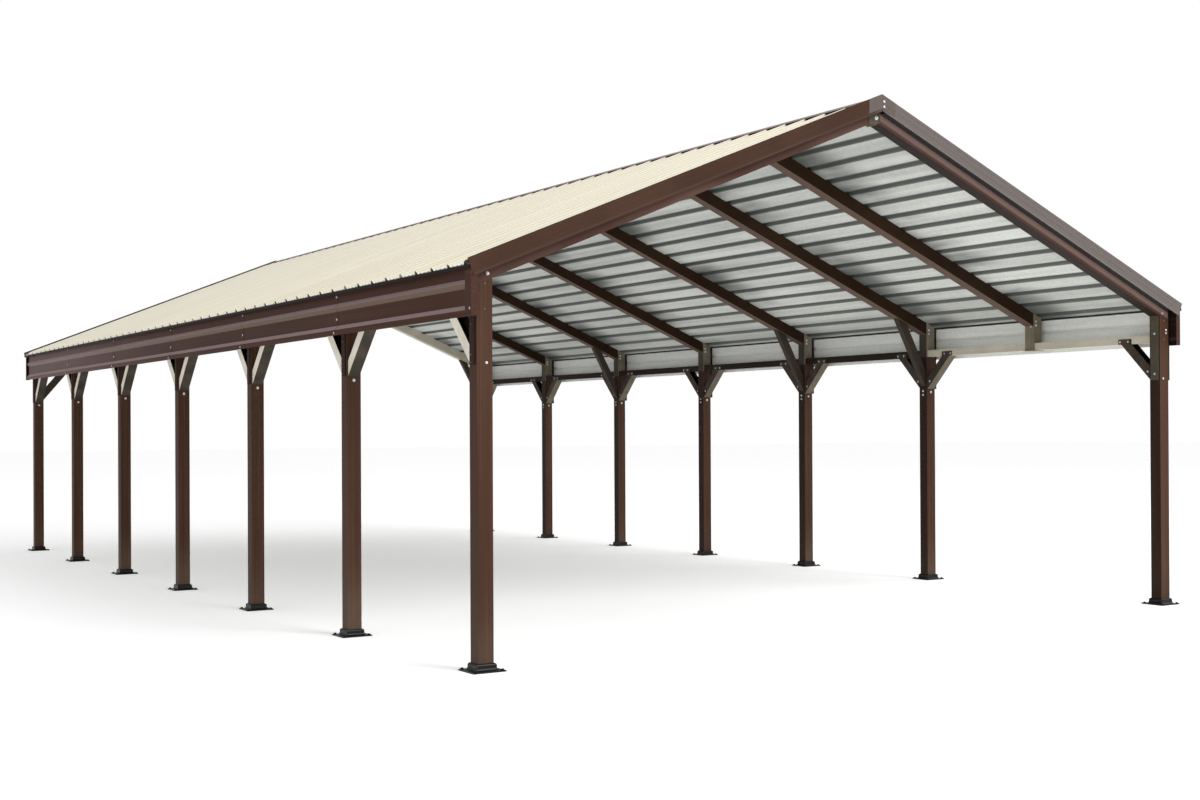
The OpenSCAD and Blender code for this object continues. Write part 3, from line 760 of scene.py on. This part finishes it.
spin = g.add("FunctionNodeRandomValue", {"data_type": "FLOAT"}, turn, 1)
spin = g.add("ShaderNodeCombineXYZ", None, {"Z": spin})
fastener = g.close(g.add("GeometryNodeRotateInstances", None, {0: copies, "Rotation": spin}))

BOLT = {"Head Radius": 0.0078, "Head Height": 0.006, "Washer Radius": 0.0108, "Washer Height": 0.002,
        "Tip Radius": 0.0045, "Tip Height": 0.0015}
BIG_BOLT = {"Head Radius": 0.0115, "Head Height": 0.008, "Washer Radius": 0.0155, "Washer Height": 0.0025,
            "Tip Radius": 0.0065, "Tip Height": 0.0025}
SCREW = {"Head Radius": 0.0055, "Head Height": 0.0036, "Washer Radius": 0.0085, "Washer Height": 0.0012,
         "Tip Radius": 0.0025, "Tip Height": 0.0006}
ANCHOR = {"Head Radius": 0.0105, "Head Height": 0.006, "Washer Radius": 0.0135, "Washer Height": 0.002,
          "Tip Radius": 0.006, "Tip Height": 0.0015}
LOW_SCREW = {"Head Radius": 0.0055, "Head Height": 0.0018, "Washer Radius": 0.0085, "Washer Height": 0.0006,
             "Tip Radius": 0.0025, "Tip Height": 0.0003}
TINY = {"Head Radius": 0.0032, "Head Height": 0.0022, "Washer Radius": 0.0046, "Washer Height": 0.0008,
        "Tip Radius": 0.0015, "Tip Height": 0.0004}


class Places:
    """A list of points and the way that each one faces."""

    def __init__(self):
        self.points, self.facing = [], []

    def add(self, point, facing):
        self.points.append(Vector(point))
        self.facing.append(Vector(facing))

    def fasten(self, name, sizes, finish, slot):
        return grow(name, fastener, self.points, {"facing": self.facing}, sizes, finish)


print("fastener tree nodes", len(fastener.nodes))

# %% [markdown]
# ## Bolts of the frame
# The frame is bolted at the rafter feet, at the feet and ears of the knee braces, on the posts just under
# those feet, and at the ridge. The bolts follow a rule for each post, so they are listed in loops.

# %% Frame bolts
BACK, FRONT = Vector((0, 1, 0)), Vector((0, -1, 0))
EAR_FOOT, EAR_FOOT_RISE = 0.03, 0.072
EAR_REACHES, EAR_RISE = (-0.07, 0.012), 0.021
FACE_DROP, LEFT_DROPS, RIGHT_DROPS = 0.03, (0.03,), (0.02, 0.055)
HEAD_IN, GABLE_RISES, FRAME_RISES = 0.02, (0.035,), (0.018, 0.052)
RIDGE_S = 0.06
bolts, ears = Places(), Places()
for side, posts in ((-1, left_y), (1, right_y)):
    for i, y in enumerate(posts):
        for along in (-1, 1):
            if not 0 <= i + along < len(posts):
                continue
            foot_y = y + along * (POST_R + EAR_FOOT)
            ear_y = y + along * (POST_R + BRACE_LEG)
            for face in (-1, 1):
                cheek_x = side * HALF + face * CHEEK
                ears.add((cheek_x, foot_y, FOOT_Z + EAR_FOOT_RISE), (face, 0, 0))
                for reach in EAR_REACHES:
                    ears.add((cheek_x, ear_y + along * reach, HEADER_Z + EAR_RISE), (face, 0, 0))
        if i > 0:
            bolts.add((side * HALF, y - POST_R, FOOT_Z - FACE_DROP), FRONT)
            for drop in RIGHT_DROPS if side > 0 else LEFT_DROPS:
                bolts.add((side * INNER, y, FOOT_Z - drop), (-side, 0, 0))
for side in (-1, 1):
    for i, y in enumerate(frame_y):
        head_x = side * (HALF - HEAD_IN)
        head_z = plane_z(HALF - HEAD_IN, 0)
        for rise in FRAME_RISES if i else GABLE_RISES:
            bolts.add((head_x, y - POST_R, head_z + rise), FRONT)
            bolts.add((head_x, y + POST_R, head_z + rise), BACK)
        if 0 < i < len(frame_y) - 1:
            for face in (FRONT, BACK):
                bolts.add(on_slope(side, RIDGE_S, DECK_N / 2, y + face.y * POST_R), face)
bolts.fasten("frame_bolts", BOLT, bolt_zinc, "galvanised")
ears.fasten("brace_screws", SCREW, bolt_zinc, "galvanised")

# %% [markdown]
# ## Screws of the posts
# Smaller screws hold the plates, straps and channels on the faces of the posts. The front posts carry the
# most, in places of their own, and the rest repeat down each row, so short lists of heights say it all.

# %% Post screws
STRAP_T, PLATE_T = 0.008, 0.004
CHANNEL_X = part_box("stand_offs")[1].x
TRIM_DROPS, PLATE_RISES, CORNER_DROPS = (0.015, 0.165), (0.05, 0.37), (0.09, 0.115)
STRAP_RISES, CHANNEL_RISES, STUB_RISES = (0.015, 0.06, 0.24), (0.03, 0.2), (0.205, 0.235)
OFF_LINE, CORNER_OFF, STUB_OFF = 0.012, 0.025, 0.02
front_y, eave_z = left_y[0], plane_z(HALF, 0)
face_y = front_y - POST_R
tiny_screws, post_screws = Places(), Places()
for side in (-1, 1):
    for drop in TRIM_DROPS:
        tiny_screws.add((side * HALF, face_y, eave_z - drop), FRONT)
    post_screws.add((side * (HALF - OFF_LINE), face_y, FOOT_Z + OFF_LINE), FRONT)
    for rise in PLATE_RISES:
        post_screws.add((side * (INNER - PLATE_T), front_y, FOOT_Z + rise), (-side, 0, 0))
for drop in CORNER_DROPS:
    post_screws.add((HALF + CORNER_OFF, face_y, eave_z - drop), FRONT)
for y in left_y:
    for rise in STRAP_RISES:
        tiny_screws.add((-OUTER - STRAP_T, y + OFF_LINE, FOOT_Z + rise), (-1, 0, 0))
for y in right_y:
    for rise in CHANNEL_RISES:
        post_screws.add((CHANNEL_X, y, FOOT_Z + rise), (1, 0, 0))
for rise in STUB_RISES:
    post_screws.add((INNER, stub_y - STUB_OFF, HEADER_Z + rise), (-1, 0, 0))
post_screws.fasten("post_screws", SCREW, bolt_zinc, "galvanised")
tiny_screws.fasten("tiny_screws", TINY, stub_taupe, "taupe")

# %% [markdown]
# ## Anchor nuts
# Each base plate is held by four anchors. Their low heads are coated black like the shoe, so that in the
# picture they hardly show.

# %% Anchor nuts
ANCHOR_AT = 0.088
anchors = Places()
for side, posts in ((-1, left_y), (1, right_y)):
    for y in posts:
        for dx in (-ANCHOR_AT, ANCHOR_AT):
            for dy in (-ANCHOR_AT, ANCHOR_AT):
                anchors.add((side * HALF + dx, y + dy, PLATE_TOP), (0, 0, 1))
anchors.fasten("anchor_nuts", ANCHOR, shoe_black, "black_shoe")

# %% [markdown]
# ## Bars with a tapered section
# The roof's small ribs, its side laps and the foam closures are all straight bars whose section is a
# trapezium. A tree bends a cube's width by its height to get that section, and lays one bar at each
# place, along one vector and upright by another.

# %% Bar tree
g = Grower("tapered_bar", ["Foot", "Crown", "Height", "Length"])
cube = g.add("GeometryNodeMeshCube", None, {"Size": (1, 1, 1)})
spot = g.add("GeometryNodeInputPosition")
axes = g.add("ShaderNodeSeparateXYZ", None, {0: spot}).node.outputs
lift = g.sum("ADD", axes["Z"], 0.5)
taper = g.sum("MULTIPLY", g.sum("SUBTRACT", g.inputs["Crown"], g.inputs["Foot"]), lift)
moved = g.add("ShaderNodeCombineXYZ", None, {
    "X": g.sum("MULTIPLY", g.sum("ADD", axes["X"], 0.5), g.inputs["Length"]),
    "Y": g.sum("MULTIPLY", axes["Y"], g.sum("ADD", g.inputs["Foot"], taper)),
    "Z": g.sum("MULTIPLY", lift, g.inputs["Height"])})
bar = g.add("GeometryNodeSetPosition", None, {"Geometry": cube, "Position": moved})
turned = g.add("FunctionNodeAxesToRotation", {"primary_axis": "X", "secondary_axis": "Z"},
               {0: g.vector("along"), 1: g.vector("up")})
tapered_bar = g.close(g.add("GeometryNodeInstanceOnPoints", None, {
    "Points": g.inputs["Places"], "Instance": bar, "Rotation": turned}))


def lay_bars(name, side, places, sizes, finish):
    """Bars that lie down one slope from the given points."""
    vectors = {"along": [slope_down(side)] * len(places), "up": [slope_up(side)] * len(places)}
    return grow(name, tapered_bar, places, vectors, sizes, finish)


print("bar tree nodes", len(tapered_bar.nodes))

# %% [markdown]
# ## Small ribs, side laps and closures of the roof
# Between two high ribs a roof sheet has three low ones that stiffen its pan. Every fourth high rib is a
# side lap, where the next sheet's rib covers it. The sheet ends are plugged with black foam: a peg in each
# rib at the eave, and a block in each pan under the ridge cap.

# %% Roof bars
RIB_EDGE, RIB_STEPS, LAP_EVERY = 6.084, 53, 4
RIB_FOOT, RIB_CROWN, RIB_H = 0.046, 0.022, 0.019
PITCH_Y = 2 * RIB_EDGE / RIB_STEPS
CAP_TIP = slope_s(0, CAP_N) + 0.13
EAVE_S = slope_s(EAVE_X, ROOF_N)
SINK, FOAM_GAP, FOAM_SLACK = 0.0005, 0.0002, 0.001
LOW_FROM, LAP_FROM, PEG_IN, BLOCK_IN = 0.02, CAP_TIP + 0.004, 0.022, 0.0215
LOW_RIB = {"Foot": 0.024, "Crown": 0.008, "Height": 0.005, "Length": EAVE_S - 0.022}
LAP = {"Foot": 0.0505, "Crown": 0.0245, "Height": RIB_H + 0.0017, "Length": EAVE_S - CAP_TIP - 0.006}
PEG = {"Foot": RIB_FOOT - FOAM_SLACK, "Crown": RIB_CROWN - FOAM_SLACK, "Height": RIB_H - 0.0004,
       "Length": 0.018}
BLOCK = {"Foot": PITCH_Y - RIB_FOOT - FOAM_SLACK, "Crown": PITCH_Y - RIB_CROWN - FOAM_SLACK,
         "Height": RIB_H - 0.0004, "Length": 0.02}
rib_y = [-RIB_EDGE + i * PITCH_Y for i in range(RIB_STEPS + 1)]
pan_y = [y + PITCH_Y / 2 for y in rib_y[:-1]]
low_y = [y + i * PITCH_Y / 4 for y in pan_y for i in (-1, 0, 1)]
sides = {-1: "left", 1: "right"}
for side, word in sides.items():
    low_ribs = [on_slope(side, LOW_FROM, PAN_N - SINK, y) for y in low_y]
    lay_bars(word + "_small_ribs", side, low_ribs, LOW_RIB, roof_cream)
    laps = [on_slope(side, LAP_FROM, PAN_N - SINK, y) for y in rib_y[LAP_EVERY:-1:LAP_EVERY]]
    lay_bars(word + "_side_laps", side, laps, LAP, roof_cream)
    pegs = [on_slope(side, EAVE_S - PEG_IN, ROOF_N + FOAM_GAP, y) for y in rib_y]
    lay_bars(word + "_eave_closures", side, pegs, PEG, foam_black)
    blocks = [on_slope(side, CAP_TIP - BLOCK_IN, PAN_N + FOAM_GAP, y) for y in pan_y]
    lay_bars(word + "_ridge_closures", side, blocks, BLOCK, foam_black)

# %% [markdown]
# ## Roof screws
# Rows of coated screws with washers hold the sheets to the deck, one in each pan. They are the same cream
# as the sheet, so they only show as a faint grid.

# %% Roof screws
SCREW_ROWS = (0.3, 0.9, 1.5, 2.1, 2.7, 3.22)
roof_screws = Places()
for side in sides:
    for s in SCREW_ROWS:
        for y in pan_y:
            roof_screws.add(on_slope(side, s, PAN_N, y + PITCH_Y / 8), slope_up(side))
roof_screws.fasten("roof_screws", SCREW, roof_cream, "cream")

# %% [markdown]
# ## Fascia laps
# A fascia comes in lengths that overlap at the posts. The overlap is a strip of the same folded profile,
# a millimetre proud of the sheet, so it is made once from that profile and copied along the side.

# %% Fascia laps
LAP_T, LAP_W, TOP_GAP = 0.0014, 0.05, 0.004
top_z, low_z, face_x = FASCIA[1].z, FASCIA[0].z, FASCIA[0].x + SHEET
rib_x = FASCIA[1].x
FLAT, RIB_TOP, RIB_UNDER, PAN = 0.092, 0.029, 0.026, 0.097
rib_z = top_z - FLAT
pan_z = rib_z - RIB_TOP - RIB_UNDER
lip_z = pan_z - PAN
profile = [(face_x, top_z - TOP_GAP), (face_x, rib_z), (rib_x, rib_z - RIB_TOP), (face_x, pan_z),
           (face_x, lip_z), (rib_x, lip_z - RIB_TOP), (rib_x, low_z)]


def prism(name, outline, lift, depth):
    """A closed solid from an outline, by a function that places each outline point at a depth."""
    made = bmesh.new()
    near = [made.verts.new(lift(p, 0)) for p in outline]
    far = [made.verts.new(lift(p, depth)) for p in outline]
    made.faces.new(near)
    made.faces.new(reversed(far))
    for i in range(len(outline)):
        j = (i + 1) % len(outline)
        made.faces.new((near[j], near[i], far[i], far[j]))
    bmesh.ops.recalc_face_normals(made, faces=made.faces)
    mesh = bpy.data.meshes.new(name)
    made.to_mesh(mesh)
    made.free()
    return mesh


def join_meshes(name, meshes, finish):
    """One piece from several meshes."""
    made = bmesh.new()
    for mesh in meshes:
        made.from_mesh(mesh)
    whole = bpy.data.meshes.new(name)
    made.to_mesh(whole)
    made.free()
    whole.materials.append(finish)
    return keep(bpy.data.objects.new(name, whole))


lap_outline = profile + [(x + LAP_T, z) for x, z in reversed(profile)]
SCREW_SPOTS, SCREW_OFF, CORNER_Y = ((0.045, face_x), (0.2, face_x), (0.293, rib_x)), 0.018, 5.9
fascia_screws = Places()
for side, posts in ((-1, left_y), (1, right_y)):
    strips = []
    for y in posts[1:-1]:
        strips.append(prism("lap", lap_outline, lambda p, d: (side * p[0], y + d, p[1]), LAP_W))
    join_meshes(sides[side] + "_fascia_laps", strips, fascia_brown)
    for y in posts:
        for drop, x in SCREW_SPOTS:
            near = LAP_T if y in posts[1:-1] else 0
            if abs(y) < CORNER_Y:
                fascia_screws.add((side * (x + near), y + SCREW_OFF, top_z - drop), (side, 0, 0))
fascia_screws.fasten("fascia_screws", SCREW, bolt_zinc, "galvanised")

# %% [markdown]
# ## Apex cover
# At the apex a folded cover in a greyer sheet closes the joint of the two rake trims. It is two cut plates
# a side, the upper one a little prouder, as the fold below it steps back.

# %% Apex cover
RAKE_Y = -SHEET_Y - SHEET
RAKE_TOP = CAP_N + 0.012
COVER_W, COVER_T, LOWER_T, COVER_GAP = 0.118, 0.003, 0.0018, 0.0005
COVER_LOW, COVER_FOLD, COVER_TOP = 0.0745, 0.104, RAKE_TOP - 0.0015
covers = []
for side in (-1, 1):
    for n_from, n_to, proud in ((COVER_LOW, COVER_FOLD, LOWER_T), (COVER_FOLD, COVER_TOP, COVER_T)):
        corners = [(0.0, n_from), (COVER_W, n_from), (COVER_W, n_to), (0.0, n_to)]
        outline = [(side * (x + COVER_GAP), plane_z(x, n)) for x, n in corners]
        covers.append(prism("cover", outline, lambda p, d: (p[0], RAKE_Y - d, p[1]), proud))
join_meshes("apex_covers", covers, cover_taupe)

# %% [markdown]
# ## Rake beads, gable closures and deck edge strips
# Each rake trim is stiffened by two rolled beads along its face. Behind it a black block fills the open end
# of the deck's ribs, and a black strip lies along the deck's edge over each fascia, both in the black foam
# finish. All are straight bars, so the bar tree makes them too.

# %% Gable bars
STRIP_W, STRIP_H, STRIP_END = 0.02, 0.008, 0.06
STRIP = {"Foot": STRIP_W, "Crown": STRIP_W, "Height": STRIP_H - 0.0005, "Length": 2 * (SHEET_Y - STRIP_END)}
BEAD_LEVELS, BEAD_FROM = (0.108, 0.146), 0.12
BEAD = {"Foot": 0.009, "Crown": 0.004, "Height": 0.0022, "Length": 3.15}
FILL_FROM, FILL_N, FILL_IN = 0.02, 0.066, 0.032
FILL = {"Foot": 0.058, "Crown": 0.058, "Height": 0.033, "Length": 3.2}
strip_s = slope_s(FASCIA[0].x - STRIP_W, DECK_N)
strip_places = [on_slope(side, strip_s, DECK_N - STRIP_H, STRIP_END - SHEET_Y) for side in sides]
strip_ways = {"along": [BACK] * 2, "up": [slope_up(side) for side in sides]}
grow("deck_edge_strips", tapered_bar, strip_places, strip_ways, STRIP, foam_black)
for end, word in ((-1, "front"), (1, "back")):
    beads, ways, ups = [], [], []
    for side in sides:
        for n in BEAD_LEVELS:
            beads.append(on_slope(side, BEAD_FROM, n, end * (SHEET_Y + SHEET)))
            ways.append(slope_down(side))
            ups.append(Vector((0, end, 0)))
    grow(word + "_rake_beads", tapered_bar, beads, {"along": ways, "up": ups}, BEAD, rake_brown)
    for side in sides:
        gap = [on_slope(side, FILL_FROM, FILL_N, end * (SHEET_Y - FILL_IN))]
        lay_bars(f"{word}_{sides[side]}_gable_closure", side, gap, FILL, foam_black)

# %% [markdown]
# ## Ridge gussets and trim screws
# Under the apex cover a small cut gusset with one bolt ties the two rafters of each gable. Low screws hold
# the cover and the corner trims, since taller heads would stand out past the trims.

# %% Gussets and trim screws
GUSSET_T, GUSSET_LEFT, GUSSET_RIGHT = 0.004, 0.065, 0.03
GUSSET_LOW, GUSSET_TOP, TIP_DROP, BOLT_RISE = 0.004, 0.06, 0.02, 0.025
COVER_SCREW_X, COVER_SCREW_LEVELS = 0.016, (0.092, 0.125)
CORNER_IN, CORNER_RISE = 0.02, 0.045
gusset_outline = [
    (-GUSSET_LEFT, plane_z(GUSSET_LEFT, GUSSET_LOW)), (0, APEX_Z - TIP_DROP),
    (GUSSET_RIGHT, plane_z(GUSSET_RIGHT, GUSSET_LOW)), (GUSSET_RIGHT, plane_z(GUSSET_RIGHT, GUSSET_TOP)),
    (0, plane_z(0, GUSSET_TOP)), (-GUSSET_LEFT, plane_z(GUSSET_LEFT, GUSSET_TOP))]
gussets = []
trim_screws, gusset_bolts = Places(), Places()
for y, way in ((frame_y[0] - POST_R, FRONT), (frame_y[-1] + POST_R, BACK)):
    gussets.append(prism("gusset", gusset_outline, lambda p, d: (p[0], y + way.y * d, p[1]), GUSSET_T))
    gusset_bolts.add((0, y + way.y * GUSSET_T, APEX_Z + BOLT_RISE), way)
join_meshes("ridge_gussets", gussets, plate_olive)
for n in COVER_SCREW_LEVELS:
    trim_screws.add((COVER_SCREW_X, RAKE_Y - COVER_T, plane_z(COVER_SCREW_X, n)), FRONT)
for side in (-1, 1):
    trim_screws.add((side * (rib_x + SHEET), CORNER_IN - SHEET_Y, low_z + CORNER_RISE), (side, 0, 0))
trim_screws.fasten("trim_screws", LOW_SCREW, bolt_zinc, "galvanised")
gusset_bolts.fasten("gusset_bolts", BIG_BOLT, bolt_zinc, "galvanised")
